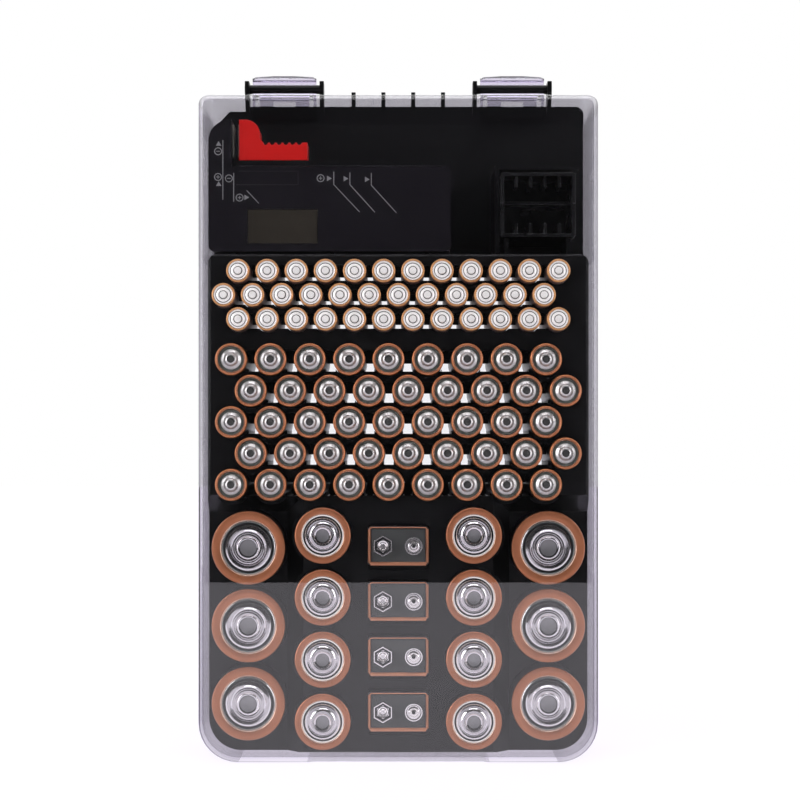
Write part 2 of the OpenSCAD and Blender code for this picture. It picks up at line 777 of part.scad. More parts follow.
// Front view of the slider: tall rounded head and a grip arm with scallops.
module slider_outline() {
    x1 = slider_x0 + slider_l;
    head_w = 9.6;
    grip_h = 8.2;
    crown_r = 6.6;
    fillet_r = 2.8;
    scallop_r = 1.1;
    scallop_pitch = 3.13;
    difference() {
        union() {
            translate([slider_x0, slider_z0]) square([slider_l, grip_h]);
            translate([slider_x0, slider_z0]) square([head_w, slider_h - crown_r]);
            translate([slider_x0, slider_z0]) square([head_w - crown_r, slider_h]);
            intersection() {
                translate([slider_x0 + head_w - crown_r, slider_z0 + slider_h - crown_r]) circle(crown_r);
                translate([slider_x0, slider_z0]) square([head_w, slider_h]);
            }
            difference() {
                translate([slider_x0, slider_z0]) square([head_w + fillet_r, grip_h + fillet_r]);
                translate([slider_x0 + head_w + fillet_r, slider_z0 + grip_h + fillet_r]) circle(fillet_r);
            }
        }
        for (i = [0:5]) translate([x1 - 3.7 - i * scallop_pitch, slider_z0 + grip_h]) circle(scallop_r);
    }
}

module tester_slider() {
    foot_t = 2;
    foot_w = 7;
    foot_z = tester_body_z - tester_wall - 0.3 - foot_t;
    color([0.85, 0.08, 0.07]) {
        plan(slider_y - slider_t / 2, slider_y + slider_t / 2) slider_outline();
        translate([stem_x0, slider_y - stem_w / 2, foot_z])
            cube([stem_l, stem_w, slider_z0 - foot_z + eps]);
        translate([stem_x0, slider_y - foot_w / 2, foot_z]) cube([stem_l, foot_w, foot_t]);
    }
}

module slider_contact() {
    color([0.75, 0.73, 0.68])
        translate([slider_x0 - contact_t, slider_y - 4, slider_z0 + 2]) cube([contact_t, 8, slider_h - 4]);
}

module fixed_contact() {
    color([0.75, 0.73, 0.68])
        translate([tester_x0 + column_w, slider_y - 4, slider_z0 + 2]) cube([contact_t, 8, slider_h - 4]);
}

// Round contact stud on the left side of the column.
module side_contact_minus() {
    stud_z = tester_z0 + 47;
    color([0.75, 0.73, 0.68]) translate([tester_x0, slider_y, stud_z]) rotate([0, -90, 0])
        rotate_extrude() polygon([[0, 0], [2.4, 0], [2.4, 0.7], [1.9, 1.2], [0.9, 1.3], [0, 1.3]]);
}

// Contact with three spring fingers on the left side of the column.
module side_contact_plus() {
    finger_z = tester_z0 + 31.4;
    finger_pitch = 3;
    finger_t = 1.8;
    color([0.75, 0.73, 0.68]) {
        translate([tester_x0 - 0.6, slider_y - 3, finger_z]) cube([0.6, 6, 2 * finger_pitch + finger_t]);
        for (i = [0:2]) translate([tester_x0 - 1.3, slider_y - 2.4, finger_z + i * finger_pitch])
            cube([1.3, 4.8, finger_t]);
    }
}

module lcd_window() {
    window_t = 1;
    color([0.6, 0.63, 0.55]) plan(tester_y0 + tester_wall - window_t, tester_y0 + tester_wall)
        translate([lcd_x0 + 0.1, lcd_z0 + 0.1]) square([lcd_w - 0.2, lcd_h - 0.2]);
}

module lcd_module() {
    color([0.5, 0.55, 0.45]) plan(tester_y0 + tester_wall, tester_y0 + tester_wall + 3)
        translate([lcd_x0 - 2, tester_z0 + tester_wall + 0.4]) square([lcd_w + 4, lcd_h + 3]);
}

module circuit_board() {
    color([0.1, 0.35, 0.15]) plan(tester_y0 + 9, tester_y0 + 10.6)
        translate([tester_x0 + 12, tester_z0 + 3]) square([88, tester_body_h - 14]);
}

module tester_screws() {
    color("silver") for (p = boss_points) {
        plan(tester_y1 - 2.2, tester_y1 - 0.4) translate(p) circle(2.4);
        plan(tester_y0 + 6, tester_y1 - 2.2 + eps) translate(p) circle(1);
    }
}

// Black rack for coin cells: two rows of five places between half-height ribs.
module coin_cell_rack() {
    rim = 1.6;
    place_pitch = 6.75;
    rib_t = 1.4;
    rib_h = 5;
    rack_x1 = rack_x + rack_w;
    rack_z1 = rack_z0 + rack_h;
    floor_y = rack_y0 + 24;
    floor_t = 2;
    mid_z = rack_z0 + rack_h * 0.53;
    mid_set = 7;
    side_notch = 3.6;
    color([0.04, 0.04, 0.045]) union() {
        difference() {
            plan(rack_y0, flange_y) rounded_rect(rack_x, rack_x1, rack_z0, rack_z1, 1.2);
            plan(rack_y0 - 1, floor_y)
                rounded_rect(rack_x + rim, rack_x1 - rim, rack_z0 + rim, rack_z1 - rim, 0.8);
            plan(floor_y + floor_t, flange_y + 1)
                rounded_rect(rack_x + rim, rack_x1 - rim, rack_z0 + rim, rack_z1 - rim, 0.8);
            plan(rack_y0 - 1, rack_y0 + rim) translate([rack_x - 1, mid_z - side_notch])
                square([rack_w + 2, side_notch]);
        }
        plan(rack_y0 + 2, floor_y + eps) {
            for (i = [-1.5:1:1.5], z = [rack_z0 + eps, rack_z1 - rib_h - rim])
                translate([rack_x + rack_w / 2 + i * place_pitch - rib_t / 2, z])
                    square([rib_t, rib_h + rim]);
        }
        plan(rack_y0 + mid_set, floor_y + eps)
            translate([rack_x + eps, mid_z]) square([rack_w - 2 * eps, rim]);
    }
}

copper = [0.62, 0.36, 0.22];
tray_panel();
tray_flange_sides();
tray_flange_seats();
tray_flange_bars();
tray_hinges();
tray_bay_floor();
tray_bay_ribs();
tray_square_column();
for (i = [0, 1]) {
    side = i * 2 - 1;
    tray_c_column(side);
    tray_d_column(side);
}
for (row = [1:3]) tray_aaa_row(3 - row);
for (row = [1:5]) tray_aa_row(5 - row);
lid();
color(copper) {
    for (row = [1:3]) cell_row_aaa(3 - row);
    for (row = [1:5]) cell_row_aa(5 - row);
    for (i = [1:8]) c_cell(i - 1);
    for (i = [1:6]) d_cell(i - 1);
    for (i = [1:4]) nine_volt_cell(i - 1);
}
tester_front_shell();
tester_rear_shell();
tester_slider();
slider_contact();
fixed_contact();
side_contact_minus();
side_contact_plus();
lcd_window();
lcd_module();
circuit_board();
tester_screws();
coin_cell_rack();
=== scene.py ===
import bpy
import json
import math
from math import radians
from mathutils import Matrix, Vector


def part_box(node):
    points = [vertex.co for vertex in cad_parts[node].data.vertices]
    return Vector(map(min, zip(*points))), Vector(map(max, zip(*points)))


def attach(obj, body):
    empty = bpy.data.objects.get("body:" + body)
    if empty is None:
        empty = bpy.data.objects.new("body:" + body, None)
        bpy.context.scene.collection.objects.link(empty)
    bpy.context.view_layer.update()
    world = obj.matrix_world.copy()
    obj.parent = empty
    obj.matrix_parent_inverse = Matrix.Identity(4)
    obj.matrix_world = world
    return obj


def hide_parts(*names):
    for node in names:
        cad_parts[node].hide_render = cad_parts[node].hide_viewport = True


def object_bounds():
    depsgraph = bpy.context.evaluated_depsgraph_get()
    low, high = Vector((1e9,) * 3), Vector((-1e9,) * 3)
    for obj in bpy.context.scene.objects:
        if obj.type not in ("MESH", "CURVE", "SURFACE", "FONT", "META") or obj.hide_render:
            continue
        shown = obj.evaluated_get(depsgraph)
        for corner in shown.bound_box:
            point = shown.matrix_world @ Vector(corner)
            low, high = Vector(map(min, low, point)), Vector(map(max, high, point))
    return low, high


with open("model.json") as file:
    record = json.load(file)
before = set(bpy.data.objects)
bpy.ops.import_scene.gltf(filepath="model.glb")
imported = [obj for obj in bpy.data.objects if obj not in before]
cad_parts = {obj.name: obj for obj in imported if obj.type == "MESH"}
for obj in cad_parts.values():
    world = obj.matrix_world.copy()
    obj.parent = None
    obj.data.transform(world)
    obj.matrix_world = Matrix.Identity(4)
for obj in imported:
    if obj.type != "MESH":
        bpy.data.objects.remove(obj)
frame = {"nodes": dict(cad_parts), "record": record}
cad_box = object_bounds()
nodes = frame["nodes"]
bpy.ops.object.select_all(action="DESELECT")


# Camera
# It stands straight in front of the case, 765 mm from the lid, and looks along +Y.
# Small shifts put the case where the photograph has it.
mm = 0.001
photo_width = 800
photo_middle_x, photo_eye_y = 398.3, 460
lid_front = cad_box[0].y
camera_gap = 0.765
view_width = 0.3616
eye_z = 0.1372
camera_data = bpy.data.cameras.new("camera")
camera = bpy.data.objects.new("camera", camera_data)
bpy.context.scene.collection.objects.link(camera)
camera.location = (0, lid_front - camera_gap, eye_z)
camera.rotation_euler = (radians(90), 0, 0)
camera_data.sensor_width = 36
camera_data.lens = camera_data.sensor_width * camera_gap / view_width
camera_data.shift_x = (photo_width / 2 - photo_middle_x) / photo_width
camera_data.shift_y = (photo_eye_y - photo_width / 2) / photo_width
bpy.context.scene.camera = camera


# Studio
# A white surround and a white table that ends a metre in front of the case, with a dark
# flag behind the camera. The lid mirrors the table in its lower part and the flag above.
bpy.context.scene.view_settings.view_transform = "Standard"
world = bpy.data.worlds.new("studio")
bpy.context.scene.world = world
world.use_nodes = True


def seen_directly(tree):
    """A value of 1 for what the camera sees itself, in a mirror or through clear plastic."""
    path = tree.nodes.new("ShaderNodeLightPath")
    first, both, kept, before = [tree.nodes.new("ShaderNodeMath") for _ in range(4)]
    first.operation = both.operation = "MAXIMUM"
    kept.operation, before.operation = "MULTIPLY", "LESS_THAN"
    before.inputs[1].default_value = 0.5
    tree.links.new(path.outputs["Is Camera Ray"], first.inputs[0])
    tree.links.new(path.outputs["Is Glossy Ray"], first.inputs[1])
    tree.links.new(first.outputs[0], both.inputs[0])
    tree.links.new(path.outputs["Is Transmission Ray"], both.inputs[1])
    tree.links.new(path.outputs["Diffuse Depth"], before.inputs[0])
    tree.links.new(both.outputs[0], kept.inputs[0])
    tree.links.new(before.outputs[0], kept.inputs[1])
    return kept.outputs[0]


sky = world.node_tree
sky.nodes.clear()
sky_light, sky_seen = sky.nodes.new("ShaderNodeBackground"), sky.nodes.new("ShaderNodeBackground")
sky_mix, sky_out = sky.nodes.new("ShaderNodeMixShader"), sky.nodes.new("ShaderNodeOutputWorld")
sky_light.inputs["Color"].default_value = (1, 1, 1, 1)
sky_light.inputs["Strength"].default_value = 0.26
sky_seen.inputs["Color"].default_value = (1, 1, 1, 1)
sky.links.new(seen_directly(sky), sky_mix.inputs["Fac"])
sky.links.new(sky_light.outputs[0], sky_mix.inputs[1])
sky.links.new(sky_seen.outputs[0], sky_mix.inputs[2])
sky.links.new(sky_mix.outputs[0], sky_out.inputs["Surface"])


def lamp(name, place, aim, width, height, power):
    """A rectangular softbox that faces its aim."""
    data = bpy.data.lights.new(name, "AREA")
    data.shape = "RECTANGLE"
    data.size = width
    data.size_y = height
    data.energy = power
    light = bpy.data.objects.new(name, data)
    bpy.context.scene.collection.objects.link(light)
    light.location = place
    light.rotation_euler = (Vector(aim) - Vector(place)).to_track_quat("-Z", "Y").to_euler()


middle = (0, 0, 0.16)
lamp("left softbox", (-0.95, -0.75, 0.45), middle, 0.5, 0.9, 7.2)
lamp("right softbox", (1.0, -0.8, 0.4), middle, 0.5, 0.9, 5)
lamp("top softbox", (0, -0.35, 1.3), middle, 1.0, 0.6, 6)
lamp("rear softbox", (0, 0.9, 1.0), middle, 1.2, 0.6, 4)


def material(name, color, roughness=0.5, metallic=0.0):
    """A new material with its node tree and its main shader."""
    made = bpy.data.materials.new(name)
    made.use_nodes = True
    shader = made.node_tree.nodes["Principled BSDF"]
    shader.inputs["Base Color"].default_value = (*color, 1)
    shader.inputs["Roughness"].default_value = roughness
    shader.inputs["Metallic"].default_value = metallic
    return made, made.node_tree, shader


def stage_plane(name, width, height, place, turn, finish):
    """A flat sheet of the studio, which is not part of the object."""
    bpy.ops.mesh.primitive_plane_add(size=1, location=place, rotation=(turn, 0, 0))
    plane = bpy.context.object
    plane.name = name
    plane.scale = (width, height, 1)
    bpy.ops.object.transform_apply(location=True, rotation=True, scale=True)
    plane.data.materials.append(finish)
    return plane


table_front, table_depth = -1.16, 9
paper, t, t_shader = material("white table", (0.86, 0.86, 0.86), 0.7)
t_mix, t_glow = t.nodes.new("ShaderNodeMixShader"), t.nodes.new("ShaderNodeEmission")
t_glow.inputs["Color"].default_value = (1.0, 0.96, 1.04, 1)
t_share = t.nodes.new("ShaderNodeMath")
t_share.operation = "MULTIPLY"
t_share.inputs[1].default_value = 0.8
t_place, t_split = t.nodes.new("ShaderNodeTexCoord"), t.nodes.new("ShaderNodeSeparateXYZ")
t_far = t.nodes.new("ShaderNodeMapRange")
for socket, value in (("From Min", 0.2), ("From Max", 1.4), ("To Min", 1.13), ("To Max", 1.31)):
    t_far.inputs[socket].default_value = value
t.links.new(t_place.outputs["Object"], t_split.inputs["Vector"])
t.links.new(t_split.outputs["Y"], t_far.inputs["Value"])
t.links.new(t_far.outputs["Result"], t_glow.inputs["Strength"])
t.links.new(seen_directly(t), t_share.inputs[0])
t.links.new(t_share.outputs[0], t_mix.inputs["Fac"])
t.links.new(t_shader.outputs[0], t_mix.inputs[1])
t.links.new(t_glow.outputs[0], t_mix.inputs[2])
t.links.new(t_mix.outputs[0], t.nodes["Material Output"].inputs["Surface"])
stage_plane("table", 8, table_depth, (0, table_front + table_depth / 2, 0), 0, paper)

dark_cloth = material("dark flag cloth", (0.002, 0.002, 0.002), 0.9)[0]
flag = stage_plane("dark flag", 4.4, 2.6, (0, table_front - 0.05, 1.2), radians(90), dark_cloth)
flag.visible_camera = False
flag.visible_diffuse = False
flag.visible_shadow = False


# Tray
# One black injection moulding: the raised block with its banks of pockets, the lowered
# fields, the rear flange and the hinge brackets. Satin skin, crisp edges with a small radius.
def grain_group():
    """Fine moulded skin: a height for bump and a gentle mottling of roughness."""
    group = bpy.data.node_groups.new("moulded skin", "ShaderNodeTree")
    for socket, way in (("Scale", "INPUT"), ("Low", "INPUT"), ("High", "INPUT"),
                        ("Height", "OUTPUT"), ("Roughness", "OUTPUT")):
        group.interface.new_socket(name=socket, in_out=way, socket_type="NodeSocketFloat")
    n, link = group.nodes, group.links.new
    given, out = n.new("NodeGroupInput"), n.new("NodeGroupOutput")
    place = n.new("ShaderNodeTexCoord")
    fine = n.new("ShaderNodeTexNoise")
    fine.inputs["Detail"].default_value = 3
    broad = n.new("ShaderNodeTexNoise")
    broad.inputs["Scale"].default_value = 38
    broad.inputs["Detail"].default_value = 4
    spread = n.new("ShaderNodeMapRange")
    link(place.outputs["Object"], fine.inputs["Vector"])
    link(place.outputs["Object"], broad.inputs["Vector"])
    link(given.outputs["Scale"], fine.inputs["Scale"])
    link(broad.outputs["Fac"], spread.inputs["Value"])
    link(given.outputs["Low"], spread.inputs["To Min"])
    link(given.outputs["High"], spread.inputs["To Max"])
    link(fine.outputs["Fac"], out.inputs["Height"])
    link(spread.outputs["Result"], out.inputs["Roughness"])
    return group


moulded_skin = grain_group()


def moulded_plastic(name, color, low, high, scale=2600, bump=0.03, gloss=0.5):
    """Plastic with a moulded skin whose roughness drifts between low and high."""
    made, tree, shader = material(name, color)
    shader.inputs["Specular IOR Level"].default_value = gloss
    skin = tree.nodes.new("ShaderNodeGroup")
    skin.node_tree = moulded_skin
    skin.inputs["Scale"].default_value = scale
    skin.inputs["Low"].default_value = low
    skin.inputs["High"].default_value = high
    raise_it = tree.nodes.new("ShaderNodeBump")
    raise_it.inputs["Strength"].default_value = bump
    raise_it.inputs["Distance"].default_value = 0.0001
    tree.links.new(skin.outputs["Height"], raise_it.inputs["Height"])
    tree.links.new(raise_it.outputs["Normal"], shader.inputs["Normal"])
    tree.links.new(skin.outputs["Roughness"], shader.inputs["Roughness"])
    return made


def body_of(node):
    groups = frame["record"]["behaviour"]["bodies"]
    return next(body for body, members in groups.items() if node in members)


merge_reach = 0.002 * mm
flat_angle, sharp_angle = 0.4, 40


def select_only(piece):
    bpy.ops.object.select_all(action="DESELECT")
    bpy.context.view_layer.objects.active = piece
    piece.select_set(True)


def join_into(keep, parts):
    """Joins the parts, of which the kept one is the last or the first."""
    bpy.ops.object.select_all(action="DESELECT")
    for part in parts:
        part.select_set(True)
    bpy.context.view_layer.objects.active = keep
    if len(parts) > 1:
        bpy.ops.object.join()


def clean_mesh(piece, merge=False, dissolve=False):
    """Merges the corners of loose triangles, clears the edges within flat faces, or both."""
    select_only(piece)
    bpy.ops.object.mode_set(mode="EDIT")
    bpy.ops.mesh.select_all(action="SELECT")
    if merge:
        bpy.ops.mesh.remove_doubles(threshold=merge_reach)
    if dissolve:
        bpy.ops.mesh.dissolve_limited(angle_limit=radians(flat_angle))
    bpy.ops.object.mode_set(mode="OBJECT")


def clean_copy(node, name, dissolve=False):
    """A copy of a frame piece whose loose triangles share their corners."""
    piece = bpy.data.objects.new(name, nodes[node].data.copy())
    bpy.context.scene.collection.objects.link(piece)
    clean_mesh(piece, merge=True, dissolve=dissolve)
    return piece


def finish_edges(piece, edge, segments, smooth):
    """Rounds the sharp edges and keeps large faces flat in a mirror."""
    if edge:
        soften = piece.modifiers.new("edge", "BEVEL")
        soften.width = edge
        soften.segments = segments
        soften.limit_method = "ANGLE"
        soften.angle_limit = radians(sharp_angle)
        bpy.ops.object.modifier_apply(modifier=soften.name)
    bpy.ops.object.shade_smooth_by_angle(angle=radians(smooth))
    flatten = piece.modifiers.new("flat faces", "WEIGHTED_NORMAL")
    flatten.keep_sharp = True
    flatten.weight = 100
    bpy.ops.object.modifier_apply(modifier=flatten.name)


def dressed(node, name, finish, edge=0.0, segments=2, smooth=35):
    """A copy of a frame piece with merged corners and rounded edges, which stands for it."""
    piece = clean_copy(node, name, dissolve=True)
    finish_edges(piece, edge, segments, smooth)
    piece.data.materials.clear()
    piece.data.materials.append(finish)
    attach(piece, body_of(node))
    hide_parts(node)
    return piece


tray_plastic = moulded_plastic(
    "black tray plastic", (0.0036, 0.0036, 0.0040), 0.32, 0.42, bump=0.012, gloss=0.17)
ramp_plastic = moulded_plastic(
    "polished ramp plastic", (0.0045, 0.0045, 0.0048), 0.12, 0.2, bump=0.004, gloss=1.0)
tray_nodes = sorted(name for name in nodes if name.startswith("tray_"))
sections = [clean_copy(name, "tray section") for name in tray_nodes]
tray = sections.pop()
bpy.context.view_layer.objects.active = tray
for section in sections:
    weld = tray.modifiers.new("weld", "BOOLEAN")
    weld.operation = "UNION"
    weld.solver = "MANIFOLD"
    weld.object = section
    bpy.ops.object.modifier_apply(modifier=weld.name)
    bpy.data.objects.remove(section)
tray.name = "tray_moulding"
clean_mesh(tray, dissolve=True)
finish_edges(tray, 0.35 * mm, 2, 35)
tray.data.materials.clear()
tray.data.materials.append(tray_plastic)
tray.data.materials.append(ramp_plastic)
ramp_low, ramp_high, ramp_inner, ramp_rear = 110 * mm, 129 * mm, 42 * mm, -12 * mm
for face in tray.data.polygons:
    at, slope = face.center, face.normal
    on_step = ramp_low < at.z < ramp_high and abs(at.x) > ramp_inner and at.y < ramp_rear
    if on_step and slope.y < -0.1 and slope.z < -0.1:
        face.material_index = 1

webs = []
web_y, web_half = -12.4 * mm, 0.5 * mm
bore_play = 0.15 * mm


def web(x, z, low, high, step, bore):
    """A wall between two neighbouring pockets, which closes the upper part of their slot."""
    bpy.ops.mesh.primitive_cube_add(size=1, location=(x, web_y, z + (low + high) / 2))
    wall = bpy.context.object
    wall.scale = (2 * web_half, 2 * web_half, high - low)
    bpy.ops.object.transform_apply(location=True, rotation=True, scale=True)
    bpy.ops.object.mode_set(mode="EDIT")
    bpy.ops.mesh.subdivide(number_cuts=2)
    bpy.ops.object.mode_set(mode="OBJECT")
    for corner in wall.data.vertices:
        to_bore = step / 2 - math.sqrt(bore ** 2 - (corner.co.z - z) ** 2)
        share = abs(corner.co.x - x) / web_half
        corner.co.x = x + math.copysign(to_bore * share, corner.co.x - x)
    wall.data.materials.append(tray_plastic)
    webs.append(wall)


for kind, count, high, lows in (("aaa", 12, 4.2, (-1.4, -1.4, -1.4)),
                                ("aa", 9, 5.6, (-1.0, -0.7, -0.4, -0.4, 0.8))):
    for row, low in enumerate(lows, 1):
        row_low, row_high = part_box(f"{kind}_cells_row_{row}")
        cell_r = (row_high.z - row_low.z) / 2
        step = (row_high.x - row_low.x - 2 * cell_r) / (count - 1)
        for i in range(count - 1):
            web(row_low.x + cell_r + (i + 0.5) * step, row_low.z + cell_r,
                low * mm, high * mm, step, cell_r + bore_play)
join_into(tray, [*webs, tray])
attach(tray, body_of(tray_nodes[0]))
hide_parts(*tray_nodes)


# Round cells
# Steel cans in a copper-coloured jacket over a black sleeve. The front shows the rolled
# copper shoulder, a washer, a groove painted near-black as painted shade, and the pressed cap with
# its button.
def circular_metal(name, color, low, high, metallic, tone):
    """Metal with a soft change of tone from place to place, as on handled sleeves and caps."""
    made, tree, shader = material(name, color, metallic=metallic)
    place = tree.nodes.new("ShaderNodeTexCoord")
    cloud = tree.nodes.new("ShaderNodeTexNoise")
    cloud.inputs["Scale"].default_value = 160
    cloud.inputs["Detail"].default_value = 5
    ramp = tree.nodes.new("ShaderNodeMix")
    ramp.data_type = "RGBA"
    ramp.inputs["A"].default_value = (*color, 1)
    ramp.inputs["B"].default_value = (*[c * tone for c in color], 1)
    spread = tree.nodes.new("ShaderNodeMapRange")
    spread.inputs["To Min"].default_value = low
    spread.inputs["To Max"].default_value = high
    fine = tree.nodes.new("ShaderNodeTexNoise")
    fine.inputs["Scale"].default_value = 3000
    raise_it = tree.nodes.new("ShaderNodeBump")
    raise_it.inputs["Strength"].default_value = 0.05
    raise_it.inputs["Distance"].default_value = 0.0001
    link = tree.links.new
    link(place.outputs["Object"], cloud.inputs["Vector"])
    link(place.outputs["Object"], fine.inputs["Vector"])
    link(cloud.outputs["Fac"], ramp.inputs["Factor"])
    link(cloud.outputs["Fac"], spread.inputs["Value"])
    link(ramp.outputs["Result"], shader.inputs["Base Color"])
    link(spread.outputs["Result"], shader.inputs["Roughness"])
    link(fine.outputs["Fac"], raise_it.inputs["Height"])
    link(raise_it.outputs["Normal"], shader.inputs["Normal"])
    return made


copper = circular_metal("copper jacket", (0.46, 0.170, 0.078), 0.28, 0.4, 0.6, 0.7)
# A lighter copy of the copper jacket for the outer lip and crest of the small cells' shoulder,
# whose trough keeps the plain copper: painted highlight.
copper_highlight = circular_metal("copper jacket with painted highlight", (0.56, 0.205, 0.075), 0.25, 0.36, 0.6, 0.75)
amber = circular_metal("amber jacket", (0.66, 0.33, 0.13), 0.28, 0.4, 0.5, 0.8)
# A paler copy of the copper for the rolled lip of the jackets: painted highlight where the rim
# catches the light.
rim_highlight = circular_metal("rolled rim with painted highlight", (0.72, 0.52, 0.40), 0.2, 0.3, 0.8, 0.85)
bright_cap = circular_metal("bright pressed cap", (0.80, 0.79, 0.79), 0.08, 0.14, 1.0, 0.92)
soft_cap = circular_metal("soft pressed cap", (0.66, 0.65, 0.62), 0.24, 0.34, 0.9, 0.9)
grey_button = circular_metal("grey button", (0.30, 0.30, 0.30), 0.3, 0.4, 0.9, 0.8)
white_cap = circular_metal("white pressed cap", (0.95, 0.93, 0.89), 0.28, 0.4, 0.3, 0.96)
# Dark finish for the small cells' button, and for the ring round the smallest cells' button, where
# it is a painted shadow.
dark_nub_and_shadow = circular_metal("dark button and painted button shadow", (0.085, 0.085, 0.08), 0.35, 0.45, 0.6, 0.8)
washer = circular_metal("grey washer", (0.16, 0.18, 0.17), 0.45, 0.6, 0.0, 0.8)
green_washer = circular_metal("green-grey washer", (0.085, 0.09, 0.075), 0.4, 0.55, 0.2, 0.8)
# Near-black finish for the grooves, holes and sunken rings of the cells and snaps: painted shade in
# the recesses.
groove_shade = circular_metal("painted recess shade", (0.012, 0.012, 0.013), 0.4, 0.5, 0.0, 0.8)
sleeve = circular_metal("black sleeve", (0.008, 0.008, 0.009), 0.25, 0.35, 0.0, 0.8)
rosy_sleeve = circular_metal("rosy sleeve", (0.42, 0.27, 0.24), 0.3, 0.42, 0.3, 0.8)


def turned_cell(name, radius, length, front_y, profile, sides):
    """A can lathed about Y. The profile lists radius share, depth behind the front, finish."""
    finishes = list(dict.fromkeys(row[2] for row in profile))
    bpy.ops.mesh.primitive_circle_add(
        vertices=sides, radius=radius, fill_type="NGON", rotation=(radians(90), 0, 0),
        location=(0, front_y + length, 0))
    cell = bpy.context.object
    cell.name = name
    bpy.ops.object.transform_apply(location=True, rotation=True, scale=True)
    bpy.ops.object.mode_set(mode="EDIT")
    bpy.ops.mesh.select_all(action="SELECT")
    at_r, at_y = 1.0, front_y + length
    spans = []
    for share, depth, finish in profile:
        y = front_y + depth * mm
        bpy.ops.mesh.extrude_region_move(TRANSFORM_OT_translate={"value": (0, y - at_y, 0)})
        grow = share / at_r
        bpy.ops.transform.resize(value=(grow, 1, grow), center_override=(0, y, 0))
        spans.append(((share + at_r) / 2 * radius, (y + at_y) / 2, finishes.index(finish)))
        at_r, at_y = share, y
    bpy.ops.mesh.select_all(action="SELECT")
    bpy.ops.mesh.normals_make_consistent(inside=False)
    bpy.ops.object.mode_set(mode="OBJECT")
    for finish in finishes:
        cell.data.materials.append(finish)
    for face in cell.data.polygons:
        ends = [cell.data.vertices[v].co for v in face.vertices]
        r = sum(math.hypot(p.x, p.z) for p in ends) / len(ends)
        y = sum(p.y for p in ends) / len(ends)
        if len(ends) > 4:
            face.material_index = spans[-1][2] if y < front_y + length / 2 else 0
        else:
            nearest = min(spans, key=lambda span: math.dist(span[:2], (r, y)))
            face.material_index = nearest[2]
    bpy.ops.object.shade_smooth_by_angle(angle=radians(40))
    return cell


def centre_of(node):
    low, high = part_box(node)
    return (Vector(low) + Vector(high)) / 2


def row_centres(node, count):
    """Middles of the equal solids that stand side by side in one row node."""
    low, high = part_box(node)
    width = high[2] - low[2]
    first, last = low[0] + width / 2, high[0] - width / 2
    return [Vector((first + (last - first) * i / (count - 1), 0, (low[2] + high[2]) / 2))
            for i in range(count)]


def place_copies(template, node, name, centres):
    """Joins copies of the template at the centres into one piece that stands for the node."""
    parts = []
    for centre in centres:
        copy = bpy.data.objects.new(name, template.data.copy())
        bpy.context.scene.collection.objects.link(copy)
        copy.data.transform(Matrix.Translation((centre.x, 0, centre.z)))
        parts.append(copy)
    piece = parts[0]
    join_into(piece, parts)
    piece.name = name
    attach(piece, body_of(node))
    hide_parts(node)
    return piece


def cell_size(node):
    """Radius, length and front of the cells of a node, from its box."""
    low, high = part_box(node)
    return (high[2] - low[2]) / 2, high[1] - low[1], low[1]


large_profile = [
    (1.0, 2.6, sleeve), (1.0, 2.2, copper), (0.985, 1.75, copper), (0.955, 1.6, copper),
    (0.765, 1.6, copper), (0.75, 1.75, rim_highlight), (0.735, 2.2, rim_highlight), (0.715, 2.0, bright_cap),
    (0.69, 2.35, washer), (0.675, 3.0, groove_shade), (0.65, 3.0, groove_shade), (0.64, 2.3, bright_cap),
    (0.615, 1.7, bright_cap), (0.58, 1.6, bright_cap), (0.56, 2.1, bright_cap),
    (0.53, 2.5, bright_cap), (0.50, 1.9, bright_cap), (0.47, 1.5, bright_cap),
    (0.44, 1.6, bright_cap), (0.42, 2.2, bright_cap), (0.38, 2.6, bright_cap),
    (0.335, 2.0, bright_cap), (0.315, 0.7, bright_cap), (0.30, 0.2, bright_cap),
    (0.275, 0.0, bright_cap), (0.24, 0.15, bright_cap), (0.22, 0.7, groove_shade),
    (0.20, 0.75, grey_button)]
radius, length, front = cell_size("d_cell_1")
large_cell = turned_cell("large cell", radius, length, front, large_profile, sides=72)
for i in range(1, 7):
    place_copies(large_cell, f"d_cell_{i}", f"large_cell_{i}", [centre_of(f"d_cell_{i}")])
bpy.data.objects.remove(large_cell)

medium_profile = [
    (1.0, 2.4, sleeve), (1.0, 2.0, copper), (0.98, 1.7, copper), (0.95, 1.6, copper),
    (0.775, 1.6, copper), (0.755, 1.75, rim_highlight), (0.74, 2.2, rim_highlight), (0.70, 2.25, white_cap),
    (0.69, 2.9, groove_shade), (0.665, 2.9, groove_shade), (0.655, 2.2, bright_cap), (0.62, 1.65, bright_cap),
    (0.58, 1.6, bright_cap), (0.555, 2.1, bright_cap), (0.52, 2.35, bright_cap),
    (0.48, 1.8, bright_cap), (0.44, 1.5, bright_cap), (0.41, 2.0, bright_cap),
    (0.375, 2.4, bright_cap), (0.335, 1.6, bright_cap), (0.315, 0.4, bright_cap),
    (0.29, 0.0, bright_cap), (0.245, 0.15, bright_cap), (0.225, 0.65, groove_shade),
    (0.205, 0.7, grey_button)]
radius, length, front = cell_size("c_cell_1")
medium_cell = turned_cell("medium cell", radius, length, front, medium_profile, sides=64)
for i in range(1, 9):
    place_copies(medium_cell, f"c_cell_{i}", f"medium_cell_{i}", [centre_of(f"c_cell_{i}")])
bpy.data.objects.remove(medium_cell)

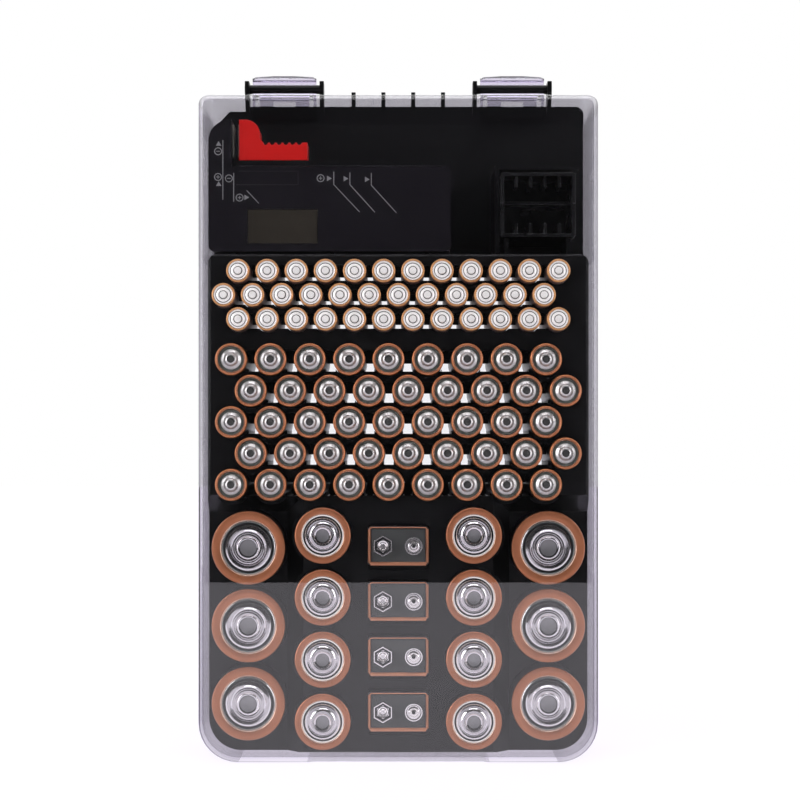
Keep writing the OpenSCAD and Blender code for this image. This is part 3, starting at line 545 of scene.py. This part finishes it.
# On the small cells' shoulder, the lighter copper copy and the paler rim paint its highlights.
small_profile = [
    (1.0, 3.4, sleeve), (1.0, 1.6, copper_highlight), (0.975, 1.25, copper_highlight),
    (0.93, 1.1, copper_highlight), (0.88, 1.35, copper), (0.85, 1.15, rim_highlight),
    (0.82, 1.3, copper_highlight), (0.80, 1.8, groove_shade), (0.78, 2.2, green_washer),
    (0.64, 2.2, green_washer), (0.61, 1.95, soft_cap), (0.50, 1.7, soft_cap),
    (0.40, 1.0, soft_cap), (0.355, 0.35, soft_cap), (0.30, 0.1, soft_cap),
    (0.235, 0.0, soft_cap), (0.215, 0.4, groove_shade), (0.19, 0.4, dark_nub_and_shadow)]
radius, length, front = cell_size("aa_cells_row_1")
small_cell = turned_cell("small cell", radius, length, front, small_profile, sides=48)
for i in range(1, 6):
    node = f"aa_cells_row_{i}"
    place_copies(small_cell, node, f"small_cells_{i}", row_centres(node, 9))
bpy.data.objects.remove(small_cell)

# The dark ring at the foot of the smallest cells' button is a painted shadow.
smallest_profile = [
    (1.0, 2.8, rosy_sleeve), (1.0, 1.3, amber), (0.97, 1.05, amber), (0.92, 0.9, amber),
    (0.84, 0.9, amber), (0.80, 1.0, rim_highlight), (0.775, 1.3, white_cap), (0.67, 1.3, white_cap),
    (0.66, 1.7, groove_shade), (0.61, 1.7, groove_shade), (0.60, 1.2, white_cap), (0.48, 0.95, white_cap),
    (0.38, 1.2, white_cap), (0.355, 1.3, dark_nub_and_shadow), (0.31, 1.25, dark_nub_and_shadow),
    (0.295, 0.2, white_cap), (0.26, 0.0, white_cap)]
radius, length, front = cell_size("aaa_cells_row_1")
smallest_cell = turned_cell("smallest cell", radius, length, front, smallest_profile, sides=40)
for i in range(1, 4):
    node = f"aaa_cells_row_{i}"
    place_copies(smallest_cell, node, f"smallest_cells_{i}", row_centres(node, 12))
bpy.data.objects.remove(smallest_cell)


# Square cells
# A pressed can whose copper-coloured jacket rolls over a charcoal top plate. Two snaps are
# riveted through the plate: a hexagonal crown on the left, a round stud on the right.
charcoal = circular_metal("charcoal top plate", (0.042, 0.045, 0.043), 0.4, 0.5, 0.0, 0.85)
rim_copper = circular_metal("rolled copper rim", (0.62, 0.27, 0.15), 0.25, 0.36, 0.6, 0.8)
snap_metal = circular_metal("snap metal", (0.90, 0.88, 0.86), 0.12, 0.2, 0.95, 0.9)


def pick_faces(piece, test):
    """Leaves the piece in edit mode with the faces that pass the test selected."""
    select_only(piece)
    bpy.ops.object.mode_set(mode="EDIT")
    bpy.ops.mesh.select_mode(type="FACE")
    bpy.ops.mesh.select_all(action="DESELECT")
    bpy.ops.object.mode_set(mode="OBJECT")
    for face in piece.data.polygons:
        face.select = test(face)
    bpy.ops.object.mode_set(mode="EDIT")


def rounded_bar(name, low, high, radius, axis="Y"):
    """A box whose four edges along one axis are rounded."""
    bpy.ops.object.select_all(action="DESELECT")
    size = [b - a for a, b in zip(low, high)]
    middle_point = [(a + b) / 2 for a, b in zip(low, high)]
    bpy.ops.mesh.primitive_cube_add(size=1, location=middle_point)
    bar = bpy.context.object
    bar.name = name
    bar.scale = size
    bpy.ops.object.transform_apply(location=True, rotation=True, scale=True)
    bpy.ops.object.mode_set(mode="EDIT")
    bpy.ops.mesh.select_mode(type="EDGE")
    bpy.ops.mesh.select_all(action="DESELECT")
    bpy.ops.object.mode_set(mode="OBJECT")
    along = "XYZ".index(axis)
    for edge in bar.data.edges:
        a, b = [bar.data.vertices[v].co for v in edge.vertices]
        edge.select = abs((b - a)[along]) > size[along] * 0.9
    bpy.ops.object.mode_set(mode="EDIT")
    bpy.ops.mesh.bevel(offset=radius, segments=6)
    bpy.ops.object.mode_set(mode="OBJECT")
    return bar


low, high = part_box("nine_volt_cell_1")
half_w, half_t = (high.x - low.x) / 2, (high.z - low.z) / 2
snap_height, rim_height, can_corner = 2.6 * mm, 0.5 * mm, 1.9 * mm
can_front = low.y + snap_height
square_cell = rounded_bar(
    "square cell", (-half_w, can_front + rim_height, -half_t), (half_w, high.y, half_t), can_corner)
rim_slot, plate_slot, groove_shade_slot = 1, 2, 4
for finish in (sleeve, rim_copper, charcoal, snap_metal, groove_shade):
    square_cell.data.materials.append(finish)
pick_faces(square_cell, lambda f: f.normal.y < -0.9)
for inset, rise in ((0.45, 0.5), (0.45, 0.0), (0.4, -0.9), (0.3, 0.0)):
    bpy.ops.mesh.inset(thickness=inset * mm, depth=rise * mm)
bpy.ops.object.mode_set(mode="OBJECT")
# The sunken border round the top plate takes the near-black groove finish: painted shade in the
# recess.
for face in square_cell.data.polygons:
    at, towards = face.center, face.normal.y
    if at.y < can_front + 0.6 * mm:
        face.material_index = rim_slot
    if abs(at.z) > half_t - 1.5 * mm and at.y > can_front + 0.1 * mm and towards < -0.3:
        face.material_index = groove_shade_slot
    if towards < -0.9 and at.y > can_front + 0.55 * mm:
        face.material_index = plate_slot if len(face.vertices) > 4 else groove_shade_slot
bpy.ops.object.shade_smooth_by_angle(angle=radians(35))
edge_set, edge_r = 1.2 * mm, 0.7 * mm
rolled_edge = rounded_bar(
    "rolled edge", (edge_set - half_w, can_front - 0.1 * mm, -half_t),
    (half_w - edge_set, can_front + 1.5 * mm, 1.7 * mm - half_t), edge_r, axis="X")
rolled_edge.data.materials.append(rim_copper)
bpy.ops.object.shade_smooth_by_angle(angle=radians(60))
plate_y = can_front + 0.6 * mm
snap_x0, snap_x1 = -7 * mm, 7 * mm
# The holes and inner rings of both snaps are lathed in the near-black groove finish: painted shade.
crown = turned_cell("crown snap", 4.3 * mm, plate_y - low.y, low.y, [
    (1.02, 1.6, snap_metal), (1.12, 0.35, snap_metal), (1.1, 0.0, snap_metal),
    (0.98, 0.0, snap_metal), (0.93, 0.9, snap_metal), (0.88, 1.7, groove_shade),
    (0.72, 1.7, groove_shade)], sides=6)
crown.data.transform(Matrix.Translation((snap_x0, 0, 0)))
crown_core = turned_cell("crown core", 2.7 * mm, 1.9 * mm, low.y + 0.5 * mm, [
    (1.0, 1.0, snap_metal), (0.9, 0.75, snap_metal), (0.72, 0.8, snap_metal),
    (0.62, 0.25, snap_metal), (0.5, 0.0, snap_metal), (0.42, 0.05, snap_metal),
    (0.38, 0.6, groove_shade), (0.2, 0.6, snap_metal), (0.15, 0.35, snap_metal)], sides=36)
crown_core.data.transform(Matrix.Translation((snap_x0, 0, 0)))
stud = turned_cell("round snap", 3.7 * mm, plate_y - low.y, low.y, [
    (1.0, 1.4, snap_metal), (1.1, 0.3, snap_metal), (1.08, 0.0, snap_metal),
    (0.95, 0.0, snap_metal), (0.88, 0.5, snap_metal), (0.84, 1.2, groove_shade),
    (0.72, 1.2, snap_metal), (0.66, 0.35, snap_metal), (0.56, 0.2, snap_metal),
    (0.5, 0.6, snap_metal), (0.4, 0.6, snap_metal), (0.34, 0.15, snap_metal),
    (0.24, 0.1, snap_metal), (0.16, 0.8, groove_shade)], sides=48)
stud.data.transform(Matrix.Translation((snap_x1, 0, 0)))
join_into(square_cell, [square_cell, rolled_edge, crown, crown_core, stud])
for i in range(1, 5):
    node = f"nine_volt_cell_{i}"
    place_copies(square_cell, node, f"square_cell_{i}", [centre_of(node)])
bpy.data.objects.remove(square_cell)


# Coin cell rack
# A black moulded box with half-height ribs at its top and bottom walls and a bar across
# the middle, which hold two rows of button cells on their edges.
rack_plastic = moulded_plastic("rack plastic", (0.0045, 0.0045, 0.005), 0.22, 0.34, 2600, 0.02, 0.3)
dressed("coin_cell_rack", "coin_rack", rack_plastic, edge=0.3 * mm)


# Tester
# Two black shells screwed together from the rear, with a display window, a red slider that
# runs in a slot along the top, and plated contacts on the slider, the column and its side.
tester_plastic = moulded_plastic(
    "tester plastic", (0.0050, 0.0042, 0.0060), 0.3, 0.42, 3200, 0.03, 0.2)
slider_plastic = moulded_plastic(
    "red slider plastic", (0.42, 0.006, 0.005), 0.26, 0.36, 2400, 0.05, 0.35)
contact_plate = circular_metal("plated contact", (0.55, 0.53, 0.48), 0.28, 0.4, 1.0, 0.85)
window_plastic = moulded_plastic(
    "display window", (0.024, 0.021, 0.0165), 0.12, 0.2, 900, 0.0, 0.3)
display_glass = moulded_plastic("display glass", (0.10, 0.115, 0.08), 0.15, 0.25, 900, 0.0)
board_laminate = moulded_plastic("board laminate", (0.01, 0.075, 0.02), 0.3, 0.45, 1500, 0.1)
screw_plating = circular_metal("zinc plating", (0.5, 0.5, 0.5), 0.3, 0.4, 1.0, 0.85)
dull_steel = circular_metal("dull steel", (0.16, 0.16, 0.16), 0.35, 0.45, 0.9, 0.8)
mark_ink = moulded_plastic("grey marking ink", (0.16, 0.16, 0.165), 0.5, 0.6, 3000, 0.05)

tester_front = dressed(
    "tester_front_shell", "tester_front", tester_plastic, edge=0.6 * mm, segments=3)
# The set-back rail faces above the body take the darker tray plastic: painted shade in the slot
# behind the front edge.
tester_front.data.materials.append(tray_plastic)
shell_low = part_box("tester_front_shell")[0]
rail_y, rail_z, rail_x = shell_low.y + 1.9 * mm, shell_low.z + 39.2 * mm, -74 * mm
for face in tester_front.data.polygons:
    if face.center.y > rail_y and face.center.z > rail_z and face.center.x > rail_x:
        face.material_index = 1
dressed("tester_rear_shell", "tester_rear", tester_plastic, edge=0.3 * mm)
dressed("tester_slider", "red_slider", slider_plastic, edge=0.5 * mm, segments=3)
dressed("slider_contact", "contact_on_slider", contact_plate, edge=0.08 * mm)
dressed("fixed_contact", "contact_on_column", contact_plate, edge=0.08 * mm)
dressed("side_contact_minus", "side_contact_upper", dull_steel, edge=0.2 * mm)
dressed("side_contact_plus", "side_contact_lower", dull_steel, edge=0.2 * mm)
dressed("lcd_window", "display_window", window_plastic, edge=0.15 * mm)
dressed("lcd_module", "display_module", display_glass)
dressed("circuit_board", "circuit_board_laminate", board_laminate)
dressed("tester_screws", "tester_screw_pair", screw_plating, edge=0.15 * mm)

mark_y = shell_low.y
mark_depth, mark_pixel = 0.1 * mm, 0.4603 * mm
mark_parts = []


def on_tester(px, py):
    """A point of the photograph's tester, as x and z on its front face."""
    return (px - photo_middle_x) * mark_pixel, eye_z + (photo_eye_y - py) * mark_pixel


def mark_arrow(px, py, turn):
    """A printed triangle, upright or turned to point to the right."""
    x, z = on_tester(px, py)
    bpy.ops.mesh.primitive_cylinder_add(
        vertices=3, radius=1.45 * mm, depth=mark_depth, location=(x, mark_y, z),
        rotation=(radians(90), turn, 0))
    mark_parts.append(bpy.context.object)


def mark_line(start, end, width=0.36):
    (x0, z0), (x1, z1) = on_tester(*start), on_tester(*end)
    bpy.ops.mesh.primitive_cube_add(
        size=1, location=((x0 + x1) / 2, mark_y, (z0 + z1) / 2),
        rotation=(0, -math.atan2(z1 - z0, x1 - x0), 0))
    line = bpy.context.object
    line.scale = (math.hypot(x1 - x0, z1 - z0), mark_depth, width * mm)
    mark_parts.append(line)


def mark_ring(px, py, plus):
    """A printed ring round a minus or a plus."""
    x, z = on_tester(px, py)
    bpy.ops.mesh.primitive_torus_add(
        location=(x, mark_y, z), rotation=(radians(90), 0, 0), major_segments=36,
        minor_segments=6, major_radius=1.6 * mm, minor_radius=0.2 * mm)
    ring = bpy.context.object
    ring.scale = (1, 1, 0.3)
    mark_parts.append(ring)
    arm, stroke = 1.7, 0.34
    mark_line((px - arm, py), (px + arm, py), stroke)
    if plus:
        mark_line((px, py - arm), (px, py + arm), stroke)


for at in ((218.1, 151.3), (228.9, 178.4)):
    mark_ring(*at, plus=False)
for at in ((218.0, 177.0), (239.6, 197.6), (320.6, 178.2)):
    mark_ring(*at, plus=True)
for at, turn in (((218.6, 144.2), 0), ((218.7, 184.4), 0), ((246.0, 197.4), 90),
                 ((328.6, 178.4), 90), ((345.2, 178.7), 90), ((366.5, 179.4), 90)):
    mark_arrow(*at, radians(turn))
for path in (((222.85, 140.2), (222.85, 199.7)), ((233.7, 173), (233.7, 201.7)),
             ((246.7, 190.5), (258.9, 203.4)),
             ((333.8, 171.8), (333.8, 184.6), (359.6, 212)),
             ((349.9, 172.5), (349.9, 184.6), (374.8, 212.2)),
             ((371.3, 173), (371.3, 185.2), (396.3, 212.7))):
    for start, end in zip(path, path[1:]):
        mark_line(start, end)
marks = mark_parts[0]
join_into(marks, mark_parts)
bpy.ops.object.transform_apply(location=True, rotation=True, scale=True)
marks.name = "tester_marks"
marks.data.materials.clear()
marks.data.materials.append(mark_ink)
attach(marks, body_of("tester_front_shell"))

# The ridge along the body's top edge is glossy and also lighter than the shell: painted highlight
# on its rounded edge.
ridge_highlight_plastic = moulded_plastic(
    "polished ridge with painted highlight", (0.0075, 0.0065, 0.0085), 0.16, 0.24, 3200, 0.01, 1.0)
# The thin raised lines on the body are lighter than the shell: painted highlight on their edges.
seam_highlight_plastic = moulded_plastic("seam with painted highlight", (0.0125, 0.0120, 0.0138), 0.3, 0.4, 3200, 0.03, 0.3)
strip_depth = 0.16 * mm


def strips(name, rides, finish, y, lines):
    """Thin straight ridges on a front face, between points of the photograph."""
    pixel = (camera_gap + y - lid_front) * view_width / camera_gap / photo_width
    bars = []
    for (px0, py0), (px1, py1), width in lines:
        x0, x1 = (px0 - photo_middle_x) * pixel, (px1 - photo_middle_x) * pixel
        z0, z1 = eye_z + (photo_eye_y - py0) * pixel, eye_z + (photo_eye_y - py1) * pixel
        bpy.ops.mesh.primitive_cube_add(
            size=1, location=((x0 + x1) / 2, y, (z0 + z1) / 2),
            rotation=(0, -math.atan2(z1 - z0, x1 - x0), 0))
        bar = bpy.context.object
        bar.scale = (math.hypot(x1 - x0, z1 - z0), strip_depth, width * mm)
        bars.append(bar)
    piece = bars[0]
    join_into(piece, bars)
    bpy.ops.object.transform_apply(location=True, rotation=True, scale=True)
    piece.name = name
    piece.data.materials.clear()
    piece.data.materials.append(finish)
    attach(piece, body_of(rides))


strips("tester_ridge", "tester_front_shell", ridge_highlight_plastic, mark_y, [
    ((236, 166.2), (446, 166.2), 0.9)])
strips("tester_seams", "tester_front_shell", seam_highlight_plastic, mark_y, [
    ((239, 171), (298, 171), 0.35), ((236, 184.6), (298, 184.6), 0.35),
    ((298, 171), (298, 184.6), 0.35)])
rib_x, rib_pitch = 267.0, 6.8
strips("slider_ribs", "tester_slider", slider_plastic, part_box("tester_slider")[0].y, [
    ((rib_x + rib_pitch * i, 144.6), (rib_x + rib_pitch * i, 148.6), 0.7) for i in range(6)])


# Lid
# One clear polished styrene moulding: a deep cover with a finger recess at its foot. Two
# moulded C-clips at its top snap over the tray's bars and turn there, so it needs no pin.
def clear_plastic(name, tint, roughness, ior, density):
    """Clear resin with a polished skin, slightly lavender in its depth; lamps shine through."""
    made, tree, shader = material(name, tint, roughness)
    shader.inputs["Transmission Weight"].default_value = 1
    shader.inputs["IOR"].default_value = ior
    shader.inputs["Coat Weight"].default_value = 1
    shader.inputs["Coat IOR"].default_value = 1.5
    shader.inputs["Coat Roughness"].default_value = 0.0
    depth = tree.nodes.new("ShaderNodeVolumeAbsorption")
    depth.inputs["Color"].default_value = (0.2, 0.06, 0.42, 1)
    depth.inputs["Density"].default_value = density
    tree.links.new(depth.outputs[0], tree.nodes["Material Output"].inputs["Volume"])
    through = tree.nodes.new("ShaderNodeBsdfTransparent")
    through.inputs["Color"].default_value = (0.93, 0.93, 0.94, 1)
    choose = tree.nodes.new("ShaderNodeMixShader")
    path = tree.nodes.new("ShaderNodeLightPath")
    tree.links.new(path.outputs["Is Shadow Ray"], choose.inputs["Fac"])
    tree.links.new(shader.outputs[0], choose.inputs[1])
    tree.links.new(through.outputs[0], choose.inputs[2])
    tree.links.new(choose.outputs[0], tree.nodes["Material Output"].inputs["Surface"])
    return made


lid_resin = clear_plastic("clear lid resin", (0.97, 0.965, 0.985), 0.0, 1.003, 16)
# The clips are the lid's own resin, tinted darker and more lavender: painted shade. Their higher
# IOR gives real refraction.
clip_shade_resin = clear_plastic("clear clip resin with painted shade", (0.84, 0.82, 0.89), 0.0, 1.45, 60)
# A darker copy of the resin for the lid's rounded front edges: painted shade where a real edge
# would refract the light away.
edge_shade_resin = clear_plastic("rounded edge resin with painted shade", (0.52, 0.50, 0.56), 0.0, 1.003, 16)
lid = dressed("lid", "lid_shell", lid_resin, smooth=50)
lid.data.materials.append(clip_shade_resin)
lid.data.materials.append(edge_shade_resin)
# Faces above this height take the darker clip copy: painted shade.
clip_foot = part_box("tray_panel")[1].z - 14.1 * mm
# The rounded front edge faces ahead of this depth take the darker edge copy: painted shade.
edge_rear = lid_front + 3.2 * mm
for face in lid.data.polygons:
    if face.center.z > clip_foot:
        face.material_index = 1
    elif face.center.y < edge_rear and 0.1 < abs(face.normal.y) < 0.7:
        face.material_index = 2
